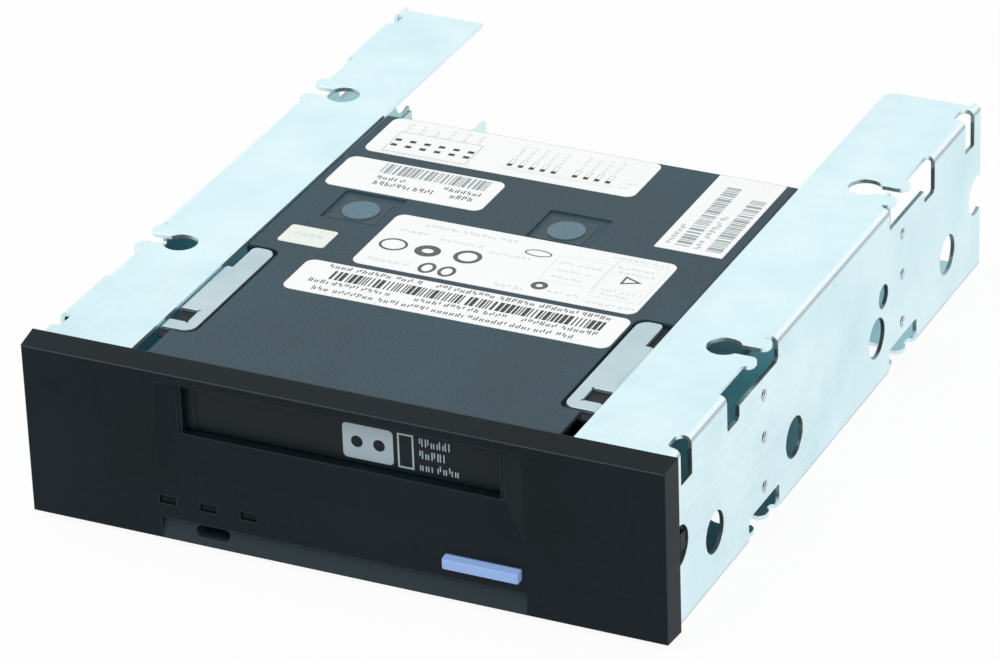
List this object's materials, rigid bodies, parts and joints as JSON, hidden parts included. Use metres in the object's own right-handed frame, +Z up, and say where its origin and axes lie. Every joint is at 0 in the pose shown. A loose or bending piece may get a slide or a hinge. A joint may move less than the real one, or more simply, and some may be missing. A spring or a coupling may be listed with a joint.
{
  "type": "data tape drive",
  "caption": "Half-height tape cartridge drive in a black bezel, carried between two zinc bay brackets, with a flap slot, eject button, status lights and loading mechanism.",
  "frame": {"origin": "middle of the whole part, level with the underside of the brackets", "axes": "+X to the right seen from the front, +Y from the bezel to the rear, +Z up"},
  "size_m": [0.1484, 0.183, 0.042],
  "materials": {
    "bracket_zinc": "bright zinc plating, satin",
    "chassis_zinc": "zinc plating, satin",
    "cover_black": "fine textured black paint",
    "bezel_black": "fine spark-eroded texture",
    "door_black": "fine texture",
    "button_blue": "satin periwinkle blue",
    "light_clear": "smoked clear moulding",
    "paper_white": "matt printed label",
    "paper_cream": "matt printed label",
    "pad_grey": "matt",
    "screw_zinc": "bright zinc",
    "board_green": "solder mask",
    "chip_black": "moulded package",
    "socket_black": "moulded",
    "socket_white": "moulded nylon",
    "contact_brass": "plated",
    "switch_grey": "moulded",
    "deck_steel": "pressed sheet",
    "holder_steel": "pressed sheet",
    "gear_white": "acetal",
    "worm_brass": "machined",
    "motor_steel": "plated can",
    "reel_black": "moulded acetal",
    "drum_aluminium": "diamond turned",
    "shaft_steel": "ground and polished",
    "bearing_brass": "sintered",
    "flywheel_iron": "turned",
    "roller_rubber": "ground rubber",
    "arm_steel": "pressed sheet",
    "carriage_black": "moulded block with steel post"
  },
  "bodies": {
    "drive_frame": {"left_bracket": "bracket_zinc", "right_bracket": "bracket_zinc", "bracket_screws": "screw_zinc", "left_side_plate": "chassis_zinc", "right_side_plate": "chassis_zinc", "top_cover": "cover_black", "left_cover_pad": "pad_grey", "right_cover_pad": "pad_grey", "base_plate": "chassis_zinc", "base_screws": "screw_zinc", "rear_panel": "chassis_zinc", "settings_label": "paper_white", "model_label": "paper_white", "rating_label": "paper_white", "tracking_label": "paper_white", "serial_label": "paper_white", "date_label": "paper_cream", "bezel": "bezel_black", "door_spring": "shaft_steel", "light_pipes": "light_clear", "main_board": "board_green", "board_screws": "screw_zinc", "board_chips": "chip_black", "front_board": "board_green", "status_leds": "socket_white", "eject_switch": "switch_grey", "data_connector": "socket_black", "power_connector": "socket_white", "power_pins": "contact_brass", "jumper_header": "socket_black", "jumper_pins": "contact_brass", "jumper_caps": "socket_black", "deck_plate": "deck_steel", "deck_screws": "screw_zinc", "right_lift_guide": "arm_steel", "left_lift_guide": "arm_steel", "loading_motor": "motor_steel", "reel_motors": "motor_steel", "drum_base": "drum_aluminium", "drum_motor": "motor_steel", "capstan_bearing": "bearing_brass"},
    "door": {"cartridge_door": "door_black"},
    "button": {"eject_button": "button_blue"},
    "holder": {"cartridge_holder": "holder_steel"},
    "slide": {"loading_slide": "arm_steel"},
    "gear": {"loading_gear": "gear_white"},
    "worm": {"loading_worm": "worm_brass"},
    "supply_reel": {"supply_reel_table": "reel_black"},
    "takeup_reel": {"takeup_reel_table": "reel_black"},
    "drum": {"head_drum": "drum_aluminium"},
    "capstan": {"capstan_shaft": "shaft_steel", "capstan_flywheel": "flywheel_iron"},
    "pinch_arm": {"pinch_arm": "arm_steel"},
    "pinch_roller": {"pinch_roller": "roller_rubber"},
    "tension_arm": {"tension_arm": "arm_steel"},
    "left_carriage": {"left_guide_carriage": "carriage_black"},
    "right_carriage": {"right_guide_carriage": "carriage_black"}
  },
  "joints": [
    {"name": "door_hinge", "type": "hinge", "parent": "drive_frame", "child": "door", "pos_m": [0, -0.0859, 0.0394], "axis": [1, 0, 0], "range_deg": [0, 88], "stiffness_Nm_per_rad": 0.0004, "springref_deg": -20.05},
    {"name": "eject_press", "type": "slide", "parent": "drive_frame", "child": "button", "axis": [0, 1, 0], "range_m": [0, 0.001], "stiffness_N_per_m": 400, "springref_m": -0.0008},
    {"name": "loading_drive", "type": "hinge", "parent": "drive_frame", "child": "worm", "pos_m": [-0.0425, -0.0375, 0.0104], "axis": [0, 1, 0], "range_deg": [0, 5387.6]},
    {"name": "loading_gear_turn", "type": "hinge", "parent": "drive_frame", "child": "gear", "pos_m": [-0.03, -0.0375, 0.015], "axis": [0, 0, 1], "range_deg": [-134.19, 0]},
    {"name": "slide_travel", "type": "slide", "parent": "drive_frame", "child": "slide", "axis": [0, 1, 0], "range_m": [0, 0.014]},
    {"name": "holder_lower", "type": "slide", "parent": "drive_frame", "child": "holder", "axis": [0, 0, -1], "range_m": [0, 0.0066]},
    {"name": "left_carriage_run", "type": "slide", "parent": "drive_frame", "child": "left_carriage", "axis": [0.1705, 0.9854, 0], "range_m": [0, 0.02649]},
    {"name": "right_carriage_run", "type": "slide", "parent": "drive_frame", "child": "right_carriage", "axis": [-0.1705, 0.9854, 0], "range_m": [0, 0.02649]},
    {"name": "pinch_arm_swing", "type": "hinge", "parent": "drive_frame", "child": "pinch_arm", "pos_m": [0.036, -0.0135, 0.019], "axis": [0, 0, 1], "range_deg": [-30.3, 0]},
    {"name": "pinch_roller_spin", "type": "hinge", "parent": "pinch_arm", "child": "pinch_roller", "pos_m": [0.02985, -0.01113, 0.022], "axis": [0, 0, 1], "continuous": true},
    {"name": "tension_arm_swing", "type": "hinge", "parent": "drive_frame", "child": "tension_arm", "pos_m": [-0.036, -0.0135, 0.019], "axis": [0, 0, 1], "range_deg": [0, 30], "stiffness_Nm_per_rad": 0.0002, "springref_deg": -11.46},
    {"name": "supply_reel_spin", "type": "hinge", "parent": "drive_frame", "child": "supply_reel", "pos_m": [-0.015, -0.0455, 0.019], "axis": [0, 0, 1], "continuous": true},
    {"name": "takeup_reel_spin", "type": "hinge", "parent": "drive_frame", "child": "takeup_reel", "pos_m": [0.015, -0.0455, 0.019], "axis": [0, 0, 1], "continuous": true},
    {"name": "drum_spin", "type": "hinge", "parent": "drive_frame", "child": "drum", "pos_m": [0, 0.0085, 0.0198], "axis": [0.0872, 0, 0.9962], "continuous": true},
    {"name": "capstan_spin", "type": "hinge", "parent": "drive_frame", "child": "capstan", "pos_m": [0.031, -0.0035, 0.015], "axis": [0, 0, 1], "continuous": true}
  ],
  "couplings": [
    {"joint": "loading_drive", "follows": "slide_travel", "rad_per_m": 6666.7},
    {"joint": "loading_gear_turn", "follows": "slide_travel", "rad_per_m": -166.67},
    {"joint": "holder_lower", "follows": "slide_travel", "ratio": 0.46429},
    {"joint": "left_carriage_run", "follows": "slide_travel", "ratio": 1.8848},
    {"joint": "right_carriage_run", "follows": "slide_travel", "ratio": 1.8848},
    {"joint": "pinch_arm_swing", "follows": "slide_travel", "rad_per_m": -37.4}
  ]
}
